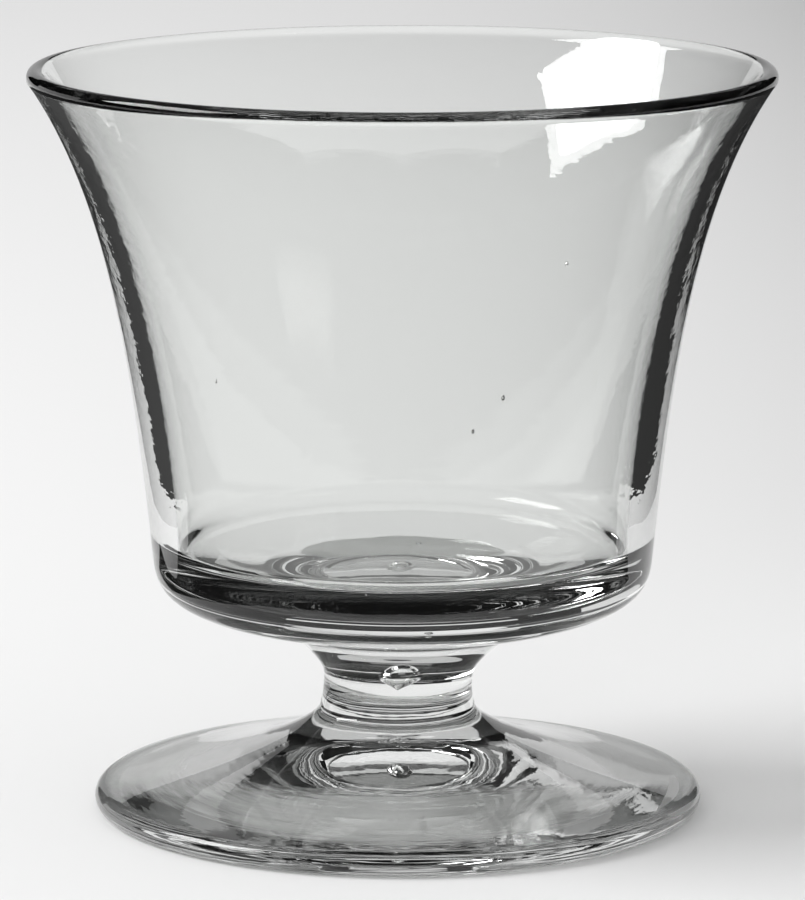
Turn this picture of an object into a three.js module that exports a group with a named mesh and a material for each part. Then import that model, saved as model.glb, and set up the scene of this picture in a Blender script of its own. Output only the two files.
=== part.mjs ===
// Fruit cocktail glass: a flared bowl on a short stem and a round foot. The three
// gathers of clear glass are made one after another and joined hot, face to face.
// Millimetres, +Z up, the foot stands on z = 0 and the axis of the glass is Z.
import * as THREE from 'three';

// Foot: a round plate that rises to a collar. Its edge is fire-polished to a full round.
const FOOT_RADIUS = 36.2;
const FOOT_EDGE_THICKNESS = 2.9;
const FOOT_EDGE_SLOPE = 6.7; // degrees that the top face falls where it meets the edge
const FOOT_EDGE_PULL = 9.4; // how far the edge's slope carries into the top face
const FOOT_HEIGHT = 12.3; // from the table to the seam with the stem
const COLLAR_RADIUS = 9.2; // at the seam with the stem
const COLLAR_FLARE = 12; // degrees from upright at the seam
const COLLAR_PULL = 3.5;
const REST_RING_INNER_RADIUS = 33; // the flat ring that the glass stands on
const KICK_DEPTH = 4.6; // the hollow under the foot, pushed up while the glass was soft
const KICK_CROWN_PULL = 13; // how far the hollow's level crown carries outwards
const KICK_RING_PULL = 10;

// Stem: a short waisted plug. A drop of air is trapped at its seam with the bowl.
const STEM_LENGTH = 6.2; // seam to seam
const WAIST_RADIUS = 8.85;
const WAIST_RISE = 2.4; // above the seam with the foot
const WAIST_LOWER_PULL = 0.9;
const WAIST_UPPER_PULL = 1.8;
const STEM_TOP_RADIUS = 10.4; // at the seam with the bowl
const STEM_TOP_FLARE = 43; // degrees from upright at the seam
const STEM_TOP_PULL = 2.1;
const AIR_DROP_RADIUS = 1.75;
const AIR_DROP_LENGTH = 3.8; // from the seam down to its tip
const AIR_DROP_SHOULDER = 1.5; // how far down the drop keeps its full width
const AIR_DROP_CROWN = 3.2; // from the seam up into the base of the bowl

// Bowl: a thick base, a rounded heel and a wall that leans, then flares to the lip.
const BOWL_HEIGHT = 70.1; // from the seam with the stem to the top of the lip
const RIM_RADIUS = 44;
const LIP_THICKNESS = 2.1; // a full round, fire-polished
const LIP_FLARE = 34.3; // degrees from upright
const LIP_PULL = 16.9;
const HEEL_RADIUS = 29.75;
const HEEL_RISE = 12.5; // above the seam with the stem
const WALL_LEAN = 5.8; // degrees from upright at the heel
const WALL_PULL = 20.1;
const UNDERSIDE_RADIUS = 16.5; // where the fillet round the stem turns into the underside
const UNDERSIDE_RISE = 3.95;
const UNDERSIDE_SLOPE = 9.2; // degrees from level
const UNDERSIDE_PULL = 12.9;
const HEEL_PULL = 4;
const STEM_FILLET_PULL = 2.4;
const WALL_THICKNESS = 3.2; // at the heel
const BASE_THICKNESS = 8.95; // from the underside's turn up to the inner floor
const FLOOR_CORNER_RADIUS = 2;
const INNER_WALL_PULL = 20;
const INNER_LIP_PULL = 17;

// Facets
const FACETS_AROUND = 56;
const WALL_STEPS = 12;
const CURVE_STEPS = 7;
const ROUND_STEPS = 5;
const EDGE_STEPS = 3;

/** A point of a profile: distance from the axis and height. */
function point(radius, height) {
  return new THREE.Vector2(radius, height);
}

/** The unit direction that rises and leans outwards by an angle from upright. */
function rising(degreesFromUpright) {
  const angle = THREE.MathUtils.degToRad(degreesFromUpright);
  return point(Math.sin(angle), Math.cos(angle));
}

/** The unit direction that runs outwards and climbs by an angle from level. */
function spreading(degreesFromLevel) {
  return rising(90 - degreesFromLevel);
}

/** The unit direction square to the given one, on its outer side. */
function outwardOf(direction) {
  return point(direction.y, -direction.x);
}

/** A smooth curve that leaves one point and reaches another in set directions. */
function sweep(start, startDirection, startPull, end, endDirection, endPull) {
  const leave = start.clone().addScaledVector(startDirection, startPull);
  const reach = end.clone().addScaledVector(endDirection, -endPull);
  return new THREE.CubicBezierCurve(start, leave, reach, end);
}

/** A round from one angle to another, in degrees from the outward level. */
function round(centre, radius, fromDegrees, toDegrees) {
  const from = THREE.MathUtils.degToRad(fromDegrees);
  const to = THREE.MathUtils.degToRad(toDegrees);
  return new THREE.EllipseCurve(centre.x, centre.y, radius, radius, from, to, to < from);
}

/** The points along a chain of curves, each with its own count of steps. */
function outline(...chain) {
  const points = [];
  for (const [curve, steps] of chain) {
    const stretch = curve.getPoints(steps);
    points.push(...(points.length ? stretch.slice(1) : stretch));
  }
  return points;
}

/** A named piece of clear glass, turned from a profile about the upright axis. */
function turnedGlass(name, profile) {
  const geometry = new THREE.LatheGeometry(profile, FACETS_AROUND);
  geometry.rotateX(Math.PI / 2);
  const glass = new THREE.MeshStandardMaterial({ color: 0xe6e9e8, roughness: 0.04, metalness: 0 });
  const piece = new THREE.Mesh(geometry, glass);
  piece.name = name;
  return piece;
}

/** Foot, with its resting ring at z = 0 and its collar at FOOT_HEIGHT. */
function makeFoot() {
  const edgeRadius = FOOT_EDGE_THICKNESS / 2;
  const edgeCentre = point(FOOT_RADIUS - edgeRadius, edgeRadius);
  const inwards = spreading(-FOOT_EDGE_SLOPE).negate();
  const edgeTop = edgeCentre.clone().addScaledVector(outwardOf(inwards), edgeRadius);
  const collar = point(COLLAR_RADIUS, FOOT_HEIGHT);
  const upCollar = rising(-COLLAR_FLARE);

  const kick = sweep(
    point(0, KICK_DEPTH), spreading(0), KICK_CROWN_PULL,
    point(REST_RING_INNER_RADIUS, 0), spreading(0), KICK_RING_PULL,
  );
  const underEdge = round(edgeCentre, edgeRadius, -90, 0);
  const overEdge = round(edgeCentre, edgeRadius, 0, 90 - FOOT_EDGE_SLOPE);
  const top = sweep(edgeTop, inwards, FOOT_EDGE_PULL, collar, upCollar, COLLAR_PULL);
  return turnedGlass('foot', [
    ...outline([kick, WALL_STEPS]),
    ...outline([underEdge, EDGE_STEPS], [overEdge, EDGE_STEPS], [top, WALL_STEPS]),
    point(0, FOOT_HEIGHT),
  ]);
}

/** Stem, with its lower seam at z = 0 and its upper seam at STEM_LENGTH. */
function makeStem() {
  const waist = point(WAIST_RADIUS, WAIST_RISE);
  const lower = sweep(
    point(COLLAR_RADIUS, 0), rising(-COLLAR_FLARE), WAIST_LOWER_PULL,
    waist, rising(0), WAIST_LOWER_PULL,
  );
  const upper = sweep(
    waist, rising(0), WAIST_UPPER_PULL,
    point(STEM_TOP_RADIUS, STEM_LENGTH), rising(STEM_TOP_FLARE), STEM_TOP_PULL,
  );
  const airDrop = sweep(
    point(AIR_DROP_RADIUS, STEM_LENGTH), rising(180), AIR_DROP_SHOULDER,
    point(0, STEM_LENGTH - AIR_DROP_LENGTH), spreading(180), AIR_DROP_RADIUS / 2,
  );
  return turnedGlass('stem', [
    point(0, 0),
    ...outline([lower, ROUND_STEPS], [upper, CURVE_STEPS]),
    ...outline([airDrop, ROUND_STEPS]),
  ]);
}

/** Bowl, with its seam with the stem at z = 0 and its lip at BOWL_HEIGHT. */
function makeBowl() {
  const lean = rising(WALL_LEAN);
  const flare = rising(LIP_FLARE);
  const underside = spreading(UNDERSIDE_SLOPE);
  const turn = point(UNDERSIDE_RADIUS, UNDERSIDE_RISE);
  const heel = point(HEEL_RADIUS, HEEL_RISE);

  const lipRadius = LIP_THICKNESS / 2;
  const lipCentre = point(RIM_RADIUS - lipRadius, BOWL_HEIGHT - lipRadius);
  const lipOutside = lipCentre.clone().addScaledVector(outwardOf(flare), lipRadius);
  const lipInside = lipCentre.clone().addScaledVector(outwardOf(flare), -lipRadius);

  // The inner wall stands WALL_THICKNESS inside the line of the heel, and the
  // floor's corner is a round that touches both the floor and that wall.
  const floorHeight = UNDERSIDE_RISE + BASE_THICKNESS;
  const innerHeel = heel.clone().addScaledVector(outwardOf(lean), -WALL_THICKNESS);
  const cornerHeight = floorHeight + FLOOR_CORNER_RADIUS;
  const wallAtCorner = innerHeel.x + (cornerHeight - innerHeel.y) * (lean.x / lean.y);
  const cornerCentre = point(wallAtCorner - FLOOR_CORNER_RADIUS / lean.y, cornerHeight);
  const cornerTop = cornerCentre.clone().addScaledVector(outwardOf(lean), FLOOR_CORNER_RADIUS);

  const airCrown = sweep(
    point(0, AIR_DROP_CROWN), spreading(0), AIR_DROP_RADIUS / 2,
    point(AIR_DROP_RADIUS, 0), rising(180), AIR_DROP_CROWN / 2,
  );
  const fillet = sweep(
    point(STEM_TOP_RADIUS, 0), rising(STEM_TOP_FLARE), STEM_FILLET_PULL,
    turn, underside, STEM_FILLET_PULL,
  );
  const base = sweep(turn, underside, UNDERSIDE_PULL, heel, lean, HEEL_PULL);
  const wall = sweep(heel, lean, WALL_PULL, lipOutside, flare, LIP_PULL);
  const lipUnder = round(lipCentre, lipRadius, -LIP_FLARE, 0);
  const lipOver = round(lipCentre, lipRadius, 0, 90);
  const lipBack = round(lipCentre, lipRadius, 90, 180 - LIP_FLARE);
  const innerWall = sweep(
    lipInside, flare.clone().negate(), INNER_LIP_PULL,
    cornerTop, lean.clone().negate(), INNER_WALL_PULL,
  );
  const corner = round(cornerCentre, FLOOR_CORNER_RADIUS, -WALL_LEAN, -90);
  return turnedGlass('bowl', [
    ...outline([airCrown, ROUND_STEPS]),
    ...outline(
      [fillet, ROUND_STEPS],
      [base, CURVE_STEPS],
      [wall, WALL_STEPS],
      [lipUnder, EDGE_STEPS],
      [lipOver, EDGE_STEPS],
      [lipBack, EDGE_STEPS],
      [innerWall, WALL_STEPS],
      [corner, ROUND_STEPS],
    ),
    point(0, floorHeight),
  ]);
}

const foot = makeFoot();
const stem = makeStem();
const bowl = makeBowl();
stem.position.z = FOOT_HEIGHT;
bowl.position.z = FOOT_HEIGHT + STEM_LENGTH;

const glass = new THREE.Group();
glass.add(foot, stem, bowl);

export default glass;
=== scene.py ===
"""A clear fruit cocktail glass: bowl, stem and foot, three gathers of glass that were joined hot.

Shapes are worked out in millimetres and become metres when a mesh is made.
"""
import logging
import math
from dataclasses import dataclass
from enum import Enum

import bpy
import numpy as np
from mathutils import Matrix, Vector


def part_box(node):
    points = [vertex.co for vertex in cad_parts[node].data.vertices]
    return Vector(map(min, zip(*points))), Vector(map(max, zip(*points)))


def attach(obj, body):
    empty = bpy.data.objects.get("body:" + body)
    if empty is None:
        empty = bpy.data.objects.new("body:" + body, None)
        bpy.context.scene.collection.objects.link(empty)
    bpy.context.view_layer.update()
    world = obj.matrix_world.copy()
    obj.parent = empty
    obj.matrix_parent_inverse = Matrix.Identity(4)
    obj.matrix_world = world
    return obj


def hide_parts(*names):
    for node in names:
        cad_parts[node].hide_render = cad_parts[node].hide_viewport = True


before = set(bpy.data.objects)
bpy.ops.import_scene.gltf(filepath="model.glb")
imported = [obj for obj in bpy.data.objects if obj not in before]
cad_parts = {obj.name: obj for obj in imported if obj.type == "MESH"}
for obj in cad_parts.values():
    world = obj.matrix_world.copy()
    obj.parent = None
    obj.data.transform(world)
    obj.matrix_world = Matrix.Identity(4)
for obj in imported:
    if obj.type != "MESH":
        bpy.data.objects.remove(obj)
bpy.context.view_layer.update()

log = logging.getLogger("fruit_cocktail_glass")

MM = 0.001
FACETS_AROUND = 256
RING_SPACING = 0.5  # mm between the rings of a turned surface
ROUND_STEP = 6.0  # degrees between the rings of a tight round
LEAST_STEPS = 4  # of a curve, however short it is
MOUTH_BLOWN_SEED = 1905
BODY = "root"
GUIDED_TURNS = 4  # mirror turns after which light counts as guided along a thick wall
GUIDED_SHARE = 0.03  # of a lamp or a panel, left in guided light
LIGHT_BOUNCES = 32  # enough for light to leave thick glass
SEED_ROWS, SEED_COLUMNS = 8, 12  # facets of a seed, from end to end and round it
TABLE_EDGES = 96
FAR_CARD_HEIGHT, SIDE_CARD_HEIGHT, FRONT_CARD_HEIGHT = 0.1, 0.2, 0.3  # mm over the table
FAR_CARD_HOLE, FAR_CARD_REACH = 60, 2500  # mm from the axis to the sheet's inner and outer edge

Point = tuple[float, float, float]
Faces = list[tuple[int, ...]]


# Colour and nodes

def linear(hex_colour: str) -> tuple[float, float, float, float]:
    """Turn an sRGB hex colour into Blender's linear colour.

    Args:
        hex_colour: Six hex digits after a hash sign.

    Returns:
        Linear red, green and blue, and an alpha of 1.
    """
    channels = [int(hex_colour[i:i + 2], 16) / 255 for i in (1, 3, 5)]
    red, green, blue = (c / 12.92 if c <= 0.04045 else ((c + 0.055) / 1.055) ** 2.4 for c in channels)
    return red, green, blue, 1.0


def add_node(
    tree: bpy.types.NodeTree, kind: str, inputs: dict | None = None, **settings: object,
) -> bpy.types.Node:
    """Add a node, set it up and link what feeds it.

    Args:
        tree: The node tree that takes the node.
        kind: The node's type, such as ShaderNodeBump.
        inputs: Sockets by name or number, each with a value or with the output that feeds it.
        settings: Attributes of the node itself.

    Returns:
        The new node.
    """
    node = tree.nodes.new(kind)
    for name, value in settings.items():
        setattr(node, name, value)
    for name, value in (inputs or {}).items():
        if isinstance(value, bpy.types.NodeSocket):
            tree.links.new(value, node.inputs[name])
        else:
            node.inputs[name].default_value = value
    return node


def empty_material(name: str) -> bpy.types.Material:
    """Make a material with no nodes in it yet.

    Args:
        name: The material's name.

    Returns:
        The new material.
    """
    material = bpy.data.materials.new(name)
    material.use_nodes = True
    material.node_tree.nodes.clear()
    return material


# Finishes

@dataclass(frozen=True)
class FirePolishedGlass:
    """Soda-lime glass, mouth-blown and fire-polished.

    The eye sees a colourless body with a mirror gloss. The blowing leaves shallow ripples that are
    drawn out round the axis, so the edges of reflections and dark bands come out ragged, and the
    cooling skin leaves slow swells. Washing leaves a film too thin to see but for a soft edge on
    the brightest glints.
    """

    name: str = "soda_lime_glass_fire_polished"
    colour: str = "#FCFDFC"
    ior: float = 1.52
    ripple_rise: float = 1.5  # mm along the outline from one ripple to the next
    ripples_per_radian: float = 3.5  # how many a ripple's length goes into round the axis
    ripple_height: float = 0.003  # mm
    ripple_calm: tuple[float, float] = (-2.0, -1.0)  # mm over the table: least ripples, full ripples
    calm_share: float = 0.3  # of the ripples' height, where they are least
    swell_width: float = 11.0  # mm
    swell_height: float = 0.010  # mm
    film_width: float = 8.0  # mm across the patches of film
    film_reach: tuple[float, float] = (0.5, 0.72)  # of the patches' strength: a first trace, full film
    clean_roughness: float = 0.0
    film_roughness: float = 0.006

    def material(self) -> bpy.types.Material:
        """Build the node material.

        Returns:
            The finish as a Blender material.
        """
        material = empty_material(self.name)
        tree = material.node_tree
        place = add_node(tree, "ShaderNodeTexCoord").outputs["Object"]
        rise = 1 / (self.ripple_rise * MM)
        trace, full_film = self.film_reach
        level = add_node(tree, "ShaderNodeVectorMath", {0: place, 1: (1, 1, 0)}, operation="MULTIPLY")
        radius = add_node(tree, "ShaderNodeVectorMath", {0: level.outputs["Vector"]}, operation="LENGTH")
        bearing = add_node(
            tree, "ShaderNodeVectorMath", {0: level.outputs["Vector"]}, operation="NORMALIZE",
        )
        height = add_node(tree, "ShaderNodeVectorMath", {0: place, 1: (0, 0, rise)}, operation="MULTIPLY")
        drawn_out = add_node(
            tree, "ShaderNodeVectorMath",
            {0: bearing.outputs["Vector"], 1: (self.ripples_per_radian,) * 3, 2: height.outputs["Vector"]},
            operation="MULTIPLY_ADD",
        )
        outwards = add_node(
            tree, "ShaderNodeMath", {0: radius.outputs["Value"], 1: rise}, operation="MULTIPLY",
        )
        ripples = add_node(
            tree, "ShaderNodeTexNoise",
            {
                "Vector": drawn_out.outputs["Vector"], "W": outwards.outputs["Value"], "Scale": 1.0,
                "Detail": 2.0, "Roughness": 0.45,
            },
            noise_dimensions="4D",
        )
        swells = add_node(
            tree, "ShaderNodeTexNoise",
            {"Vector": place, "Scale": 1 / (self.swell_width * MM), "Detail": 1.0, "Roughness": 0.4},
        )
        film = add_node(
            tree, "ShaderNodeTexNoise",
            {"Vector": place, "Scale": 1 / (self.film_width * MM), "Detail": 5.0, "Roughness": 0.6},
        )
        gloss = add_node(
            tree, "ShaderNodeMapRange",
            {
                "Value": film.outputs["Fac"], "From Min": trace, "From Max": full_film,
                "To Min": self.clean_roughness, "To Max": self.film_roughness,
            },
        )
        slow = add_node(
            tree, "ShaderNodeBump", {"Height": swells.outputs["Fac"], "Distance": self.swell_height * MM},
        )
        calm, full = self.ripple_calm
        share = add_node(
            tree, "ShaderNodeMapRange",
            {
                "Value": add_node(tree, "ShaderNodeSeparateXYZ", {0: place}).outputs["Z"],
                "From Min": calm * MM, "From Max": full * MM, "To Min": self.calm_share, "To Max": 1.0,
            },
        )
        fine = add_node(
            tree, "ShaderNodeBump",
            {
                "Height": ripples.outputs["Fac"], "Distance": self.ripple_height * MM,
                "Strength": share.outputs["Result"], "Normal": slow.outputs["Normal"],
            },
        )
        glass = add_node(
            tree, "ShaderNodeBsdfPrincipled",
            {
                "Base Color": linear(self.colour), "IOR": self.ior, "Transmission Weight": 1.0,
                "Roughness": gloss.outputs["Result"], "Normal": fine.outputs["Normal"],
            },
        )
        add_node(tree, "ShaderNodeOutputMaterial", {"Surface": glass.outputs["BSDF"]})
        return material


@dataclass(frozen=True)
class WornGlass:
    """Soda-lime glass, ground by years of being set down.

    The ring that the glass stands on is dulled by fine scratches that run in all directions, so the
    eye sees a thin grey, slightly frosted line where the foot meets the table.
    """

    name: str = "soda_lime_glass_worn"
    colour: str = "#F6F8F7"
    ior: float = 1.52
    scratch_length: float = 3.0  # mm
    scratch_width: float = 0.12  # mm, drawn about three times as coarse as real ones so that it shows
    scratch_depth: float = 0.004  # mm
    scratch_turns: tuple[float, float, float] = (25.0, 95.0, 150.0)  # degrees round, layer by layer
    scratch_reach: tuple[float, float] = (0.5, 0.75)  # of a scratch's strength: a first trace, full depth
    least_roughness: float = 0.08
    most_roughness: float = 0.34

    def material(self) -> bpy.types.Material:
        """Build the node material.

        Returns:
            The finish as a Blender material.
        """
        material = empty_material(self.name)
        tree = material.node_tree
        place = add_node(tree, "ShaderNodeTexCoord").outputs["Object"]
        along, across = 1 / (self.scratch_length * MM), 1 / (self.scratch_width * MM)
        trace, full = self.scratch_reach
        layers = []
        for turn in self.scratch_turns:
            lie = add_node(
                tree, "ShaderNodeMapping",
                {"Vector": place, "Rotation": (0, 0, math.radians(turn)), "Scale": (along, across, along)},
            )
            layers.append(add_node(
                tree, "ShaderNodeTexNoise",
                {"Vector": lie.outputs["Vector"], "Scale": 1.0, "Detail": 2.0, "Roughness": 0.6},
            ).outputs["Fac"])
        first_two = add_node(tree, "ShaderNodeMath", {0: layers[0], 1: layers[1]}, operation="MAXIMUM")
        scratches = add_node(
            tree, "ShaderNodeMath", {0: first_two.outputs["Value"], 1: layers[2]}, operation="MAXIMUM",
        ).outputs["Value"]
        dulled = add_node(
            tree, "ShaderNodeMapRange",
            {
                "Value": scratches, "From Min": trace, "From Max": full,
                "To Min": self.least_roughness, "To Max": self.most_roughness,
            },
        )
        grooves = add_node(
            tree, "ShaderNodeBump", {"Height": scratches, "Distance": self.scratch_depth * MM}, invert=True,
        )
        glass = add_node(
            tree, "ShaderNodeBsdfPrincipled",
            {
                "Base Color": linear(self.colour), "IOR": self.ior, "Transmission Weight": 1.0,
                "Roughness": dulled.outputs["Result"], "Normal": grooves.outputs["Normal"],
            },
        )
        add_node(tree, "ShaderNodeOutputMaterial", {"Surface": glass.outputs["BSDF"]})
        return material


@dataclass(frozen=True)
class FusedSeam:
    """Glass fused to glass: the faces at a hot joint bend no light, so the eye sees nothing there."""

    name: str = "glass_fused_seam"

    def material(self) -> bpy.types.Material:
        """Build the node material.

        Returns:
            The finish as a Blender material.
        """
        material = empty_material(self.name)
        clear = add_node(material.node_tree, "ShaderNodeBsdfTransparent")
        add_node(material.node_tree, "ShaderNodeOutputMaterial", {"Surface": clear.outputs["BSDF"]})
        return material


class Skin(Enum):
    """The kinds of surface that a gather of this glass has, each with its finish."""

    POLISHED = FirePolishedGlass()
    BLOWN = FirePolishedGlass(
        name="soda_lime_glass_blown", ripple_rise=1.6, ripples_per_radian=16, ripple_height=0.016,
        ripple_calm=(42.0, 62.0), swell_height=0.02,
    )
    TOOLED = FirePolishedGlass(
        name="soda_lime_glass_tooled", ripple_rise=1.3, ripples_per_radian=2.2, ripple_height=0.014,
        swell_height=0.03,
    )
    AIR_DROP = FirePolishedGlass(
        name="soda_lime_glass_air_drop", ripple_rise=0.8, ripple_height=0.01, swell_height=0.0,
    )
    WORN = WornGlass()
    SEAM = FusedSeam()


# Outlines, as rows of radius and height in millimetres

def at(radius: float, height: float) -> np.ndarray:
    """Give a point of an outline."""
    return np.array([radius, height], dtype=float)


def rising(degrees_from_upright: float) -> np.ndarray:
    """Give the unit direction that rises and leans outwards by an angle from upright."""
    angle = math.radians(degrees_from_upright)
    return at(math.sin(angle), math.cos(angle))


def spreading(degrees_from_level: float) -> np.ndarray:
    """Give the unit direction that runs outwards and climbs by an angle from level."""
    return rising(90 - degrees_from_level)


def outward_of(direction: np.ndarray) -> np.ndarray:
    """Give the unit direction square to the given one, on its outer side."""
    return at(direction[1], -direction[0])


def sweep(
    start: np.ndarray, leaving: np.ndarray, leaving_pull: float,
    end: np.ndarray, reaching: np.ndarray, reaching_pull: float,
) -> np.ndarray:
    """Draw a smooth curve that leaves one point and reaches another in set directions.

    Args:
        start: Where the curve starts.
        leaving: Unit direction there.
        leaving_pull: How far that direction carries, in mm.
        end: Where the curve ends.
        reaching: Unit direction there.
        reaching_pull: How far back that direction carries, in mm.

    Returns:
        Points along the curve, about RING_SPACING apart.
    """
    first, last = start + leaving * leaving_pull, end - reaching * reaching_pull
    length = sum(np.linalg.norm(b - a) for a, b in ((start, first), (first, last), (last, end)))
    t = np.linspace(0, 1, max(LEAST_STEPS, math.ceil(length / RING_SPACING)) + 1)[:, None]
    s = 1 - t
    return s ** 3 * start + 3 * s * s * t * first + 3 * s * t * t * last + t ** 3 * end


def arc(centre: np.ndarray, radius: float, from_degrees: float, to_degrees: float) -> np.ndarray:
    """Draw a round about a centre.

    Args:
        centre: The round's centre.
        radius: Its radius in mm.
        from_degrees: Start, from the outward level.
        to_degrees: End, from the outward level.

    Returns:
        Points along the round, about ROUND_STEP apart.
    """
    steps = math.ceil(abs(to_degrees - from_degrees) / ROUND_STEP)
    angles = np.radians(np.linspace(from_degrees, to_degrees, steps + 1))
    return centre + radius * np.column_stack([np.cos(angles), np.sin(angles)])


def straight(start: np.ndarray, end: np.ndarray) -> np.ndarray:
    """Draw a straight stretch with rings about two spacings apart."""
    steps = max(2, math.ceil(np.linalg.norm(end - start) / (2 * RING_SPACING)))
    return start + np.linspace(0, 1, steps + 1)[:, None] * (end - start)


@dataclass(frozen=True)
class Stretch:
    """A stretch of a turned outline: its points, the skin it sweeps and how much the hand shows in it."""

    points: np.ndarray
    skin: Skin
    hand: float = 1.0


# The hand that made it

@dataclass(frozen=True)
class HandWork:
    """How far a mouth-blown glass strays from a true turned form, in millimetres."""

    swell_height: float = 0.05
    lobes: tuple[int, ...] = (2, 3, 5, 7)
    lobe_rise: float = 23.0  # along the outline, for one radian of turn before the gain
    lobe_gain: float = 9.0  # the count of lobes round the axis that turns twice as fast
    offset: float = -0.6  # the stem and foot stand this far to the left of the bowl's axis
    offset_from: float = 13.0  # height over the table up to which the whole offset holds
    offset_to: float = 23.0  # height from which the axis is the bowl's own

    def swells(self, travel: np.ndarray, angle: np.ndarray, start: float) -> np.ndarray:
        """Work out the slow swells of a surface.

        Args:
            travel: Distance along the outline of each ring.
            angle: Angle of each facet's edge round the axis.
            start: A phase that sets one gather apart from the next.

        Returns:
            How far each point stands proud, a row for each ring.
        """
        phases = np.random.default_rng(MOUTH_BLOWN_SEED).uniform(0, 2 * math.pi, len(self.lobes))
        total = np.zeros((len(travel), len(angle)))
        for count, phase in zip(self.lobes, phases):
            climb = travel[:, None] / self.lobe_rise * (1 + count / self.lobe_gain)
            turn = count * angle[None, :] + phase + start + climb
            total += np.cos(turn) / count
        return total * self.swell_height

    def shift(self, height: np.ndarray) -> np.ndarray:
        """Work out how far the axis lies to one side at each height."""
        share = np.clip((self.offset_to - height) / (self.offset_to - self.offset_from), 0, 1)
        return self.offset * share * share * (3 - 2 * share)


HAND = HandWork()


# Turned pieces

@dataclass(frozen=True)
class Seams:
    """What two gathers share where they meet, in millimetres and in degrees from upright."""

    collar_radius: float = 9.2
    collar_flare: float = 12.0
    stem_flare: float = 43.0
    drop_radius: float = 1.75


SEAMS = Seams()


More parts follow.
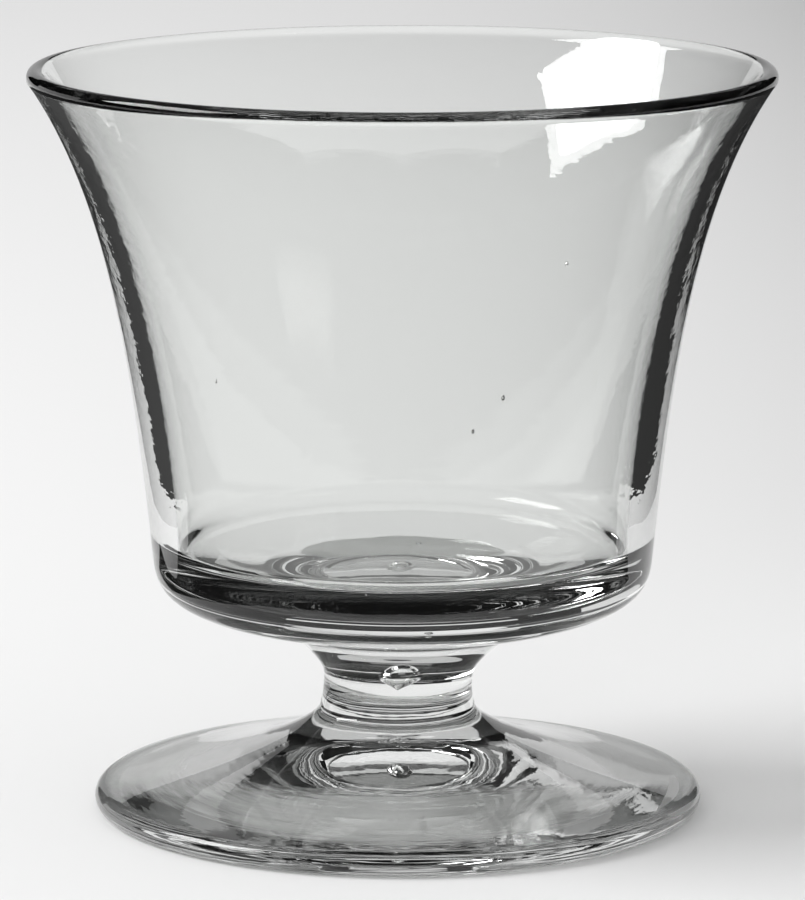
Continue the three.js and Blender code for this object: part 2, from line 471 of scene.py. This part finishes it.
@dataclass
class Gather:
    """One gather of glass: a turned piece that stands for one CAD node."""

    node: str
    finishes: dict[Skin, bpy.types.Material]

    def node_reach(self) -> tuple[float, float, float]:
        """Measure the CAD node: its greatest radius and its lowest and highest point, in mm."""
        low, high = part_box(self.node)
        return high[0] / MM, low[2] / MM, high[2] / MM

    def outline(self) -> list[Stretch]:
        """Draw the outline, from the axis and back to it, with the glass on its left."""
        raise NotImplementedError

    def extras(self) -> list[tuple[np.ndarray, Faces, Skin]]:
        """Give closed shells inside the glass, such as seed bubbles."""
        return []

    def build(self) -> bpy.types.Object:
        """Turn the outline into a closed mesh and dress it.

        Returns:
            The piece, riding on the body and standing for its node.
        """
        rings, skins, hands = self.joined(self.outline())
        points, faces, face_skins, places = self.turned(rings, skins, hands)
        for more_points, more_faces, skin in self.extras():
            first = len(points)
            points = np.vstack([points, more_points])
            faces += [tuple(first + i for i in face) for face in more_faces]
            face_skins += [skin] * len(more_faces)
            places += [(0.0, 0.0)] * sum(len(face) for face in more_faces)
        mesh = bpy.data.meshes.new(self.node)
        mesh.from_pydata((points * MM).tolist(), [], faces)
        piece = bpy.data.objects.new(f"{self.node}_glass", mesh)
        bpy.context.scene.collection.objects.link(piece)
        self.dress(piece, face_skins, places)
        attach(piece, BODY)
        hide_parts(self.node)
        return piece

    @staticmethod
    def joined(stretches: list[Stretch]) -> tuple[np.ndarray, list[Skin], np.ndarray]:
        """Chain the stretches into one row of rings.

        Args:
            stretches: The outline, in order.

        Returns:
            The rings, the skin between each ring and the next, and the share of hand work of each ring.
        """
        rings = [stretches[0].points[0]]
        skins: list[Skin] = []
        hands = [stretches[0].hand]
        for stretch in stretches:
            for point in stretch.points[1:]:
                rings.append(point)
                skins.append(stretch.skin)
                hands.append(stretch.hand)
        return np.array(rings), skins, np.array(hands)

    def turned(
        self, rings: np.ndarray, skins: list[Skin], hands: np.ndarray,
    ) -> tuple[np.ndarray, Faces, list[Skin], list[tuple[float, float]]]:
        """Sweep the rings round the axis, with the strays that a hand leaves.

        Args:
            rings: Radius and height of each ring, the first and last on the axis.
            skins: The skin between each ring and the next.
            hands: The share of hand work of each ring.

        Returns:
            Points in mm, faces, the skin of each face and a flat place for each corner of each face.
        """
        angle = np.linspace(0, 2 * math.pi, FACETS_AROUND, endpoint=False)
        steps = np.linalg.norm(np.diff(rings, axis=0), axis=1)
        travel = np.concatenate([[0], np.cumsum(steps)])
        along = np.gradient(rings, axis=0)
        along /= np.linalg.norm(along, axis=1, keepdims=True)
        proud = HAND.swells(travel, angle, start=len(self.node)) * hands[:, None]
        radius = rings[:, :1] + along[:, 1:] * proud
        height = rings[:, 1:] - along[:, :1] * proud
        x = radius * np.cos(angle) + HAND.shift(height)
        y = radius * np.sin(angle)
        middle = np.column_stack([x[1:-1].ravel(), y[1:-1].ravel(), height[1:-1].ravel()])
        ends = [[HAND.shift(rings[i, 1]), 0.0, rings[i, 1]] for i in (0, -1)]
        points = np.vstack([middle, ends])
        low_end, high_end = len(middle), len(middle) + 1
        share = travel / travel[-1]
        faces: Faces = []
        face_skins: list[Skin] = []
        places: list[tuple[float, float]] = []
        for ring, skin in enumerate(skins):
            below, above = share[ring], share[ring + 1]
            first, second = (ring - 1) * FACETS_AROUND, ring * FACETS_AROUND
            for k in range(FACETS_AROUND):
                j = (k + 1) % FACETS_AROUND
                left, right = k / FACETS_AROUND, (k + 1) / FACETS_AROUND
                if ring == 0:
                    faces.append((low_end, second + j, second + k))
                    places += [(left, below), (right, above), (left, above)]
                elif ring == len(skins) - 1:
                    faces.append((first + k, first + j, high_end))
                    places += [(left, below), (right, below), (left, above)]
                else:
                    faces.append((first + k, first + j, second + j, second + k))
                    places += [(left, below), (right, below), (right, above), (left, above)]
                face_skins.append(skin)
        return points, faces, face_skins, places

    def dress(
        self, piece: bpy.types.Object, face_skins: list[Skin], places: list[tuple[float, float]],
    ) -> None:
        """Give each face its finish, shade it smooth but for the seams' edges, and lay it out flat.

        Args:
            piece: The piece to dress.
            face_skins: The skin of each face.
            places: A flat place for each corner of each face.
        """
        mesh = piece.data
        order = list(dict.fromkeys(face_skins))
        for skin in order:
            mesh.materials.append(self.finishes[skin])
        mesh.polygons.foreach_set("material_index", [order.index(skin) for skin in face_skins])
        mesh.shade_smooth()
        skins_at_edge: dict[tuple[int, int], set[Skin]] = {}
        for polygon, skin in zip(mesh.polygons, face_skins):
            for key in polygon.edge_keys:
                skins_at_edge.setdefault(key, set()).add(skin)
        crease = (Skin.SEAM, Skin.AIR_DROP)
        for edge in mesh.edges:
            skins = skins_at_edge[edge.key]
            edge.use_edge_sharp = len(skins) > 1 and any(skin in skins for skin in crease)
        flat = mesh.uv_layers.new(name="OFBake")
        flat.uv.foreach_set("vector", np.array(places, dtype=np.float32).ravel())
        mesh.validate()
        mesh.update()


@dataclass
class Foot(Gather):
    """The round spreading foot, hollow underneath, with a collar that meets the stem."""

    edge_thickness: float = 2.9
    edge_slope: float = 6.7
    edge_pull: float = 9.4
    collar_pull: float = 3.5
    ring_inner_radius: float = 33.0
    kick_depth: float = 4.6
    kick_crown_pull: float = 13.0
    kick_ring_pull: float = 10.0

    def outline(self) -> list[Stretch]:
        """Draw the hollow, the worn ring, the rounded edge, the top and the seam with the stem.

        Returns:
            The outline from the crown of the hollow to the middle of the seam.
        """
        radius, _, height = self.node_reach()
        edge_radius = self.edge_thickness / 2
        edge_centre = at(radius - edge_radius, edge_radius)
        inwards = -spreading(-self.edge_slope)
        ring = at(self.ring_inner_radius, 0)
        collar = at(SEAMS.collar_radius, height)
        edge = arc(edge_centre, edge_radius, -90, 90 - self.edge_slope)
        hollow = sweep(
            at(0, self.kick_depth), spreading(0), self.kick_crown_pull,
            ring, spreading(0), self.kick_ring_pull,
        )
        top = sweep(
            edge[-1], inwards, self.edge_pull,
            collar, rising(-SEAMS.collar_flare), self.collar_pull,
        )
        return [
            Stretch(hollow, Skin.TOOLED),
            Stretch(straight(ring, edge[0]), Skin.WORN, hand=0),
            Stretch(edge, Skin.TOOLED),
            Stretch(top, Skin.TOOLED),
            Stretch(straight(collar, at(0, height)), Skin.SEAM, hand=0),
        ]


@dataclass
class Stem(Gather):
    """The short waisted stem, with a drop of air trapped under the bowl."""

    waist_radius: float = 8.85
    waist_rise: float = 2.4
    waist_lower_pull: float = 0.9
    waist_upper_pull: float = 1.8
    top_pull: float = 2.1
    drop_length: float = 3.8
    drop_shoulder: float = 1.2
    drop_point: float = 35.0  # degrees from upright at the tip
    drop_point_pull: float = 1.1

    def outline(self) -> list[Stretch]:
        """Draw the seam with the foot, the waist, the seam with the bowl and the drop of air.

        Returns:
            The outline from the middle of the lower seam to the tip of the drop.
        """
        top_radius, low, high = self.node_reach()
        collar = at(SEAMS.collar_radius, low)
        waist = at(self.waist_radius, low + self.waist_rise)
        shoulder = at(top_radius, high)
        drop_edge = at(SEAMS.drop_radius, high)
        drop_tip = at(0, high - self.drop_length)
        lower = sweep(
            collar, rising(-SEAMS.collar_flare), self.waist_lower_pull,
            waist, rising(0), self.waist_lower_pull,
        )
        upper = sweep(
            waist, rising(0), self.waist_upper_pull,
            shoulder, rising(SEAMS.stem_flare), self.top_pull,
        )
        drop = sweep(
            drop_edge, rising(180), self.drop_shoulder,
            drop_tip, rising(180 + self.drop_point), self.drop_point_pull,
        )
        return [
            Stretch(straight(at(0, low), collar), Skin.SEAM, hand=0),
            Stretch(lower, Skin.TOOLED, hand=0),
            Stretch(upper, Skin.TOOLED, hand=0),
            Stretch(straight(shoulder, drop_edge), Skin.SEAM, hand=0),
            Stretch(drop, Skin.AIR_DROP, hand=0),
        ]


@dataclass(frozen=True)
class Seed:
    """A seed: a tiny bubble that the melt left in the glass, in millimetres from the axis and the table."""

    x: float
    y: float
    z: float
    radius: float
    stretch: float = 1.6

    def shell(self) -> tuple[np.ndarray, Faces]:
        """Make the seed as a small closed shell whose faces look into it.

        Returns:
            Points in mm, and faces.
        """
        reach = self.radius * self.stretch
        points = [(self.x, self.y, self.z - reach)]
        for row in range(1, SEED_ROWS):
            tilt = math.pi * row / SEED_ROWS
            for column in range(SEED_COLUMNS):
                turn = 2 * math.pi * column / SEED_COLUMNS
                points.append((
                    self.x + self.radius * math.sin(tilt) * math.cos(turn),
                    self.y + self.radius * math.sin(tilt) * math.sin(turn),
                    self.z - reach * math.cos(tilt),
                ))
        points.append((self.x, self.y, self.z + reach))
        top = len(points) - 1
        last = 1 + (SEED_ROWS - 2) * SEED_COLUMNS
        faces: Faces = []
        for column in range(SEED_COLUMNS):
            beside = (column + 1) % SEED_COLUMNS
            faces.append((0, 1 + column, 1 + beside))
            for row in range(SEED_ROWS - 2):
                below = 1 + row * SEED_COLUMNS
                above = below + SEED_COLUMNS
                faces.append((below + column, above + column, above + beside, below + beside))
            faces.append((last + column, top, last + beside))
        return np.array(points), faces


@dataclass
class Bowl(Gather):
    """The flared bowl: a thick base, a rounded heel, a leaning wall and a fire-polished lip."""

    lip_thickness: float = 2.1
    lip_flare: float = 34.3
    lip_pull: float = 16.9
    heel_radius: float = 29.75
    heel_rise: float = 12.5
    wall_lean: float = 5.8
    wall_pull: float = 20.1
    stem_radius: float = 10.4
    fillet_pull: float = 2.4
    underside_radius: float = 16.5
    underside_rise: float = 3.95
    underside_slope: float = 9.2
    underside_pull: float = 12.9
    heel_pull: float = 4.0
    wall_thickness: float = 3.2
    base_thickness: float = 8.95
    floor_corner: float = 2.0
    inner_wall_pull: float = 20.0
    inner_lip_pull: float = 17.0
    drop_crown: float = 3.2  # how far the drop of air rises into the base
    seeds: tuple[Seed, ...] = (
        Seed(1.9, 3.0, 30.6, 0.36),
        Seed(11.3, -30.3, 54.6, 0.20),
        Seed(7.9, -30.5, 50.8, 0.17),
        Seed(-3.2, -9.0, 29.6, 0.10),
        Seed(14.1, 2.0, 29.9, 0.13),
        Seed(-24.0, 18.0, 47.5, 0.14),
        Seed(20.5, 22.5, 61.0, 0.16),
    )

    def outline(self) -> list[Stretch]:
        """Draw the seam with the stem, the underside, the wall, the lip, the inner wall and the floor.

        Returns:
            The outline from the crown of the drop of air to the middle of the floor.
        """
        rim_radius, low, high = self.node_reach()
        lean, flare = rising(self.wall_lean), rising(self.lip_flare)
        underside = spreading(self.underside_slope)
        stem_edge = at(self.stem_radius, low)
        drop_edge = at(SEAMS.drop_radius, low)
        turn = at(self.underside_radius, low + self.underside_rise)
        heel = at(self.heel_radius, low + self.heel_rise)
        lip_radius = self.lip_thickness / 2
        lip_centre = at(rim_radius - lip_radius, high - lip_radius)
        lip = arc(lip_centre, lip_radius, -self.lip_flare, 180 - self.lip_flare)

        floor_height = turn[1] + self.base_thickness
        inner_heel = heel - outward_of(lean) * self.wall_thickness
        corner_height = floor_height + self.floor_corner
        wall_at_corner = inner_heel[0] + (corner_height - inner_heel[1]) * lean[0] / lean[1]
        corner_centre = at(wall_at_corner - self.floor_corner / lean[1], corner_height)
        corner = arc(corner_centre, self.floor_corner, -self.wall_lean, -90)

        crown = sweep(
            at(0, low + self.drop_crown), spreading(0), SEAMS.drop_radius / 2,
            drop_edge, rising(180), self.drop_crown / 2,
        )
        fillet = sweep(
            stem_edge, rising(SEAMS.stem_flare), self.fillet_pull, turn, underside, self.fillet_pull,
        )
        base = sweep(turn, underside, self.underside_pull, heel, lean, self.heel_pull)
        wall = sweep(heel, lean, self.wall_pull, lip[0], flare, self.lip_pull)
        inner_wall = sweep(lip[-1], -flare, self.inner_lip_pull, corner[0], -lean, self.inner_wall_pull)
        return [
            Stretch(crown, Skin.AIR_DROP, hand=0),
            Stretch(straight(drop_edge, stem_edge), Skin.SEAM, hand=0),
            Stretch(fillet, Skin.POLISHED, hand=0),
            Stretch(base, Skin.POLISHED),
            Stretch(wall, Skin.POLISHED),
            Stretch(lip, Skin.POLISHED),
            Stretch(inner_wall, Skin.BLOWN),
            Stretch(corner, Skin.POLISHED),
            Stretch(straight(corner[-1], at(0, floor_height)), Skin.POLISHED),
        ]

    def extras(self) -> list[tuple[np.ndarray, Faces, Skin]]:
        """Give the seeds' shells."""
        return [(*seed.shell(), Skin.POLISHED) for seed in self.seeds]


# Studio

def thrown_back(tree: bpy.types.NodeTree, turns: int) -> bpy.types.NodeSocket:
    """Find the light that the glass has thrown back at least so many times.

    Args:
        tree: The node tree that asks.
        turns: The least count of mirror turns.

    Returns:
        An output that is 1 for that light and 0 for other light.
    """
    count = add_node(tree, "ShaderNodeLightPath").outputs["Glossy Depth"]
    enough = add_node(tree, "ShaderNodeMath", {0: count, 1: turns - 0.5}, operation="GREATER_THAN")
    return enough.outputs["Value"]


def kept_share(tree: bpy.types.NodeTree, guided: float) -> bpy.types.NodeSocket:
    """Find the share of a lamp's or panel's light that is left on its way through the glass.

    Args:
        tree: The node tree of the lamp or the panel.
        guided: The share that is left in light that a thick wall has guided.

    Returns:
        An output that is 1, and the given share for guided light.
    """
    return add_node(
        tree, "ShaderNodeMapRange",
        {"Value": thrown_back(tree, GUIDED_TURNS), "To Min": 1.0, "To Max": guided},
    ).outputs["Result"]


@dataclass(frozen=True)
class TableCard:
    """Matt white card under the glass: an even pale sheet with a barely felt tooth."""

    name: str = "white_card_matt"
    colour: str = "#E8E8E8"
    tooth_width: float = 0.6  # mm
    tooth_height: float = 0.01  # mm
    roughness: float = 0.9
    specular: float = 0.1

    def material(self) -> bpy.types.Material:
        """Build the node material.

        Returns:
            The finish as a Blender material.
        """
        material = empty_material(self.name)
        tree = material.node_tree
        place = add_node(tree, "ShaderNodeTexCoord").outputs["Object"]
        tooth = add_node(
            tree, "ShaderNodeTexNoise",
            {"Vector": place, "Scale": 1 / (self.tooth_width * MM), "Detail": 2.0},
        )
        felt = add_node(
            tree, "ShaderNodeBump", {"Height": tooth.outputs["Fac"], "Distance": self.tooth_height * MM},
        )
        card = add_node(
            tree, "ShaderNodeBsdfPrincipled",
            {
                "Base Color": linear(self.colour), "Roughness": self.roughness,
                "Specular IOR Level": self.specular, "Normal": felt.outputs["Normal"],
            },
        )
        add_node(tree, "ShaderNodeOutputMaterial", {"Surface": card.outputs["BSDF"]})
        return material


@dataclass(frozen=True)
class Panel:
    """A flat panel of even brightness, a lit backdrop or a dark card, that the camera doesn't see.

    Only the glass sees it, or only the table where it shades the table.
    A panel with turns shows only in light that the glass has thrown back at least so many times, so
    that it draws the dark rims of thick glass and leaves the clear view through the bowl alone.
    """

    name: str
    corners: tuple[Point, ...]  # mm
    colour: str
    turns: int = 0
    guided: float = GUIDED_SHARE  # of its light, left after many turns
    shades_table: bool = False  # the table sees it and the glass doesn't

    def build(self) -> bpy.types.Object:
        """Make the panel as part of the stage.

        Returns:
            The panel, hidden from the camera and from shadows.
        """
        material = empty_material(self.name)
        tree = material.node_tree
        shown = add_node(
            tree, "ShaderNodeEmission",
            {"Color": linear(self.colour), "Strength": kept_share(tree, self.guided)},
        ).outputs["Emission"]
        if self.turns:
            clear = add_node(tree, "ShaderNodeBsdfTransparent")
            shown = add_node(
                tree, "ShaderNodeMixShader",
                {0: thrown_back(tree, self.turns), 1: clear.outputs["BSDF"], 2: shown},
            ).outputs["Shader"]
        add_node(tree, "ShaderNodeOutputMaterial", {"Surface": shown})
        mesh = bpy.data.meshes.new(self.name)
        points = [tuple(value * MM for value in corner) for corner in self.corners]
        mesh.from_pydata(points, [], [tuple(range(len(points)))])
        mesh.materials.append(material)
        panel = bpy.data.objects.new(self.name, mesh)
        bpy.context.scene.collection.objects.link(panel)
        panel.visible_camera = False
        panel.visible_shadow = False
        panel.visible_diffuse = self.shades_table
        panel.visible_glossy = not self.shades_table
        panel.visible_transmission = not self.shades_table
        return panel


def lying(height: float, *places: tuple[float, float]) -> tuple[Point, ...]:
    """Draw the outline of a card that lies over the table.

    Args:
        height: How far it lies above the table, in mm.
        places: Its corners on the table, in mm.

    Returns:
        The card's corners in mm.
    """
    return tuple((x, y, height) for x, y in places)


def upright(back: float, left: float, right: float, low: float, high: float) -> tuple[Point, ...]:
    """Draw the outline of a panel that stands behind the glass and faces it.

    Args:
        back: How far behind the axis it stands, in mm.
        left: Its left edge, in mm.
        right: Its right edge, in mm.
        low: Its lower edge above the table, in mm.
        high: Its upper edge above the table, in mm.

    Returns:
        The panel's corners in mm.
    """
    return (left, back, low), (right, back, low), (right, back, high), (left, back, high)


def beside(right: float, first: float, second: float, low: float, high: float) -> tuple[Point, ...]:
    """Draw the outline of a panel that stands to one side and runs from front to back.

    Args:
        right: How far to the right of the axis it stands, in mm.
        first: One end, measured backwards from the axis, in mm.
        second: The other end, in mm.
        low: Its lower edge above the table, in mm.
        high: Its upper edge above the table, in mm.

    Returns:
        The panel's corners in mm.
    """
    return (right, first, low), (right, second, low), (right, second, high), (right, first, high)


def far_half(side: int) -> tuple[tuple[float, float], ...]:
    """Draw one half of the wide sheet round the foot.

    Args:
        side: -1 for the left half, 1 for the right half.

    Returns:
        The half's corners on the table, in mm.
    """
    near, far = side * FAR_CARD_HOLE, side * FAR_CARD_REACH
    return (
        (0, FAR_CARD_HOLE), (near, FAR_CARD_HOLE), (near, -FAR_CARD_HOLE), (0, -FAR_CARD_HOLE),
        (0, -FAR_CARD_REACH), (far, -FAR_CARD_REACH), (far, FAR_CARD_REACH), (0, FAR_CARD_REACH),
    )


@dataclass(frozen=True)
class Lamp:
    """A soft rectangular lamp, placed by its direction as seen from the glass."""

    name: str
    left_of_front: float  # degrees round from the front, to the left
    above: float  # degrees above level
    distance: float  # m
    width: float  # m
    height: float  # m
    power: float  # W

    def build(self, target: Vector) -> bpy.types.Object:
        """Hang the lamp so that it faces a point.

        Args:
            target: The point that the lamp faces.

        Returns:
            The lamp.
        """
        turn, lift = math.radians(self.left_of_front), math.radians(self.above)
        away = Vector((-math.sin(turn) * math.cos(lift), -math.cos(turn) * math.cos(lift), math.sin(lift)))
        light = bpy.data.lights.new(self.name, "AREA")
        light.shape = "RECTANGLE"
        light.size, light.size_y = self.width, self.height
        light.energy = self.power
        light.use_nodes = True
        tree = light.node_tree
        tree.nodes.clear()
        glow = add_node(tree, "ShaderNodeEmission", {"Strength": kept_share(tree, GUIDED_SHARE)})
        add_node(tree, "ShaderNodeOutputLight", {"Surface": glow.outputs["Emission"]})
        lamp = bpy.data.objects.new(self.name, light)
        bpy.context.scene.collection.objects.link(lamp)
        lamp.location = target + away * self.distance
        lamp.rotation_euler = (-away).to_track_quat("-Z", "Y").to_euler()
        return lamp


@dataclass
class Studio:
    """A pale table in a dark room, a softbox at the left and a lit backdrop behind."""

    table_radius: float = 6.0  # m
    table_gap: float = 0.02  # mm under the foot, so that no two faces share a plane
    table: TableCard = TableCard()
    room_colour: str = "#101010"
    fill_colour: str = "#DDDDDD"
    background_colour: str = "#E6E6E6"
    pale_rise: float = 0.5  # degrees above level up to which the glass sees the pale far end
    lamp_aim: float = 45.0  # mm above the table
    lamps: tuple[Lamp, ...] = (
        Lamp("softbox", left_of_front=88, above=38, distance=1.3, width=0.91, height=0.52, power=13.4),
    )
    panels: tuple[Panel, ...] = (
        # Behind the glass: pale strips with darker ones above them
        Panel("backdrop", upright(1300, -450, 450, 270, 340), "#E7E7E7"),
        Panel("backdrop_low", upright(1299, -450, 450, 0, 430), "#C6C6C6", turns=1),
        Panel("backdrop_middle", upright(1300, -480, 480, 630, 760), "#C4C4C4"),
        Panel("backdrop_top", upright(1300, -230, 230, 800, 1150), "#898989"),
        # Beside the glass: a pale reflector, and a shade for the table at the right
        Panel("reflector", beside(-1300, 1900, 580, 0, 420), "#E0E0E0", guided=1.0),
        Panel("shade_right", beside(130, 120, 1000, 0, 100), "#101010", shades_table=True),
        # On the table: dark sheets that draw the side bands and the base
        Panel(
            "dark_card_left",
            lying(
                SIDE_CARD_HEIGHT, (-122, 65), (-104, 125), (-104, 460), (-420, 460), (-420, -180),
                (-130, -180), (-130, 30),
            ),
            "#484848", turns=1,
        ),
        Panel(
            "dark_card_right",
            lying(
                SIDE_CARD_HEIGHT, (122, 69), (130, 30), (130, -180), (420, -180), (420, 460),
                (112, 460), (100, 186), (91, 150),
            ),
            "#363636", turns=1,
        ),
        Panel(
            "dark_card_front",
            lying(
                FRONT_CARD_HEIGHT, (-132, 50), (-132, -180), (132, -180), (132, 50), (100, 50), (78, 10),
                (70, -40), (45, -68), (0, -78), (-45, -68), (-70, -40), (-72, 10), (-66, 45), (-78, 100),
                (-96, 100), (-100, 50),
            ),
            "#202020", turns=1,
        ),
        Panel("dark_far_left", lying(FAR_CARD_HEIGHT, *far_half(-1)), "#141414", turns=3),
        Panel("dark_far_right", lying(FAR_CARD_HEIGHT, *far_half(1)), "#141414", turns=3),
    )

    def build(self) -> None:
        """Set up the table, the world, the lamps and the panels."""
        self.build_table()
        self.build_world()
        for lamp in self.lamps:
            lamp.build(Vector((0, 0, self.lamp_aim * MM)))
        for panel in self.panels:
            panel.build()

    def build_table(self) -> None:
        """Lay the table under the foot."""
        angles = np.linspace(0, 2 * math.pi, TABLE_EDGES, endpoint=False)
        ring = [(math.cos(a) * self.table_radius, math.sin(a) * self.table_radius, 0.0) for a in angles]
        mesh = bpy.data.meshes.new("table")
        mesh.from_pydata(ring, [], [tuple(range(TABLE_EDGES))])
        mesh.materials.append(self.table.material())
        table = bpy.data.objects.new("table", mesh)
        table.location.z = -self.table_gap * MM
        bpy.context.scene.collection.objects.link(table)

    def build_world(self) -> None:
        """Make the room dark over the glass, with a soft fill on matt things and a pale far end.

        The fill is what white walls give back. It reaches the table also through the glass. The pale
        far end shows to the camera, and near the level also in and through the glass.
        """
        world = bpy.data.worlds.new("studio")
        world.use_nodes = True
        world.cycles.sampling_method = "NONE"
        tree = world.node_tree
        tree.nodes.clear()
        path = add_node(tree, "ShaderNodeLightPath")
        by_table = add_node(
            tree, "ShaderNodeMath", {0: path.outputs["Diffuse Depth"], 1: 0.5}, operation="GREATER_THAN",
        )
        room, fill, pale = (
            add_node(tree, "ShaderNodeBackground", {"Color": linear(colour)}).outputs["Background"]
            for colour in (self.room_colour, self.fill_colour, self.background_colour)
        )
        direction = add_node(tree, "ShaderNodeTexCoord").outputs["Generated"]
        way = add_node(tree, "ShaderNodeSeparateXYZ", {0: direction})
        low = add_node(
            tree, "ShaderNodeMath", {0: way.outputs["Z"], 1: math.sin(math.radians(self.pale_rise))},
            operation="LESS_THAN",
        )
        by_glass = add_node(
            tree, "ShaderNodeMath",
            {0: path.outputs["Is Glossy Ray"], 1: path.outputs["Is Transmission Ray"]}, operation="MAXIMUM",
        )
        in_glass = add_node(
            tree, "ShaderNodeMath", {0: by_glass.outputs["Value"], 1: low.outputs["Value"]},
            operation="MULTIPLY",
        )
        in_view = add_node(
            tree, "ShaderNodeMath", {0: path.outputs["Is Camera Ray"], 1: in_glass.outputs["Value"]},
            operation="MAXIMUM",
        )
        shown = add_node(tree, "ShaderNodeMixShader", {0: in_view.outputs["Value"], 1: room, 2: pale})
        either = add_node(
            tree, "ShaderNodeMixShader",
            {0: by_table.outputs["Value"], 1: shown.outputs["Shader"], 2: fill},
        )
        add_node(tree, "ShaderNodeOutputWorld", {"Surface": either.outputs["Shader"]})
        bpy.context.scene.world = world


@dataclass(frozen=True)
class PhotoCamera:
    """The camera at the photograph's viewing angle, for a picture of 805 by 900."""

    distance: float = 674.4  # mm in front of the axis
    height: float = 169.1  # mm above the table
    tilt_down: float = 10.6  # degrees
    picture_height: int = 900
    focal_pixels: float = 5792.3
    sensor: float = 36.0  # mm along the picture's longer side

    def build(self) -> bpy.types.Object:
        """Set up the camera and make it the scene's own.

        Returns:
            The camera.
        """
        data = bpy.data.cameras.new("photo_camera")
        data.sensor_width = self.sensor
        data.lens = self.focal_pixels * self.sensor / self.picture_height
        camera = bpy.data.objects.new("photo_camera", data)
        camera.location = (0, -self.distance * MM, self.height * MM)
        camera.rotation_euler = (math.radians(90 - self.tilt_down), 0, 0)
        bpy.context.scene.collection.objects.link(camera)
        bpy.context.scene.camera = camera
        return camera


# The whole

def set_up_render() -> None:
    """Keep colours as written and let light bounce often enough to leave thick glass."""
    scene = bpy.context.scene
    scene.view_settings.view_transform = "Standard"
    scene.cycles.max_bounces = LIGHT_BOUNCES
    scene.cycles.transmission_bounces = LIGHT_BOUNCES
    scene.cycles.glossy_bounces = LIGHT_BOUNCES
    scene.cycles.transparent_max_bounces = LIGHT_BOUNCES


def main() -> None:
    """Build the studio and the three gathers, and report each piece."""
    logging.basicConfig(level=logging.INFO, format="%(name)s: %(message)s")
    set_up_render()
    PhotoCamera().build()
    Studio().build()
    finishes = {skin: skin.value.material() for skin in Skin}
    for gather in (Foot("foot", finishes), Stem("stem", finishes), Bowl("bowl", finishes)):
        piece = gather.build()
        log.info("%s: %d faces", piece.name, len(piece.data.polygons))


if __name__ == "__main__":
    main()
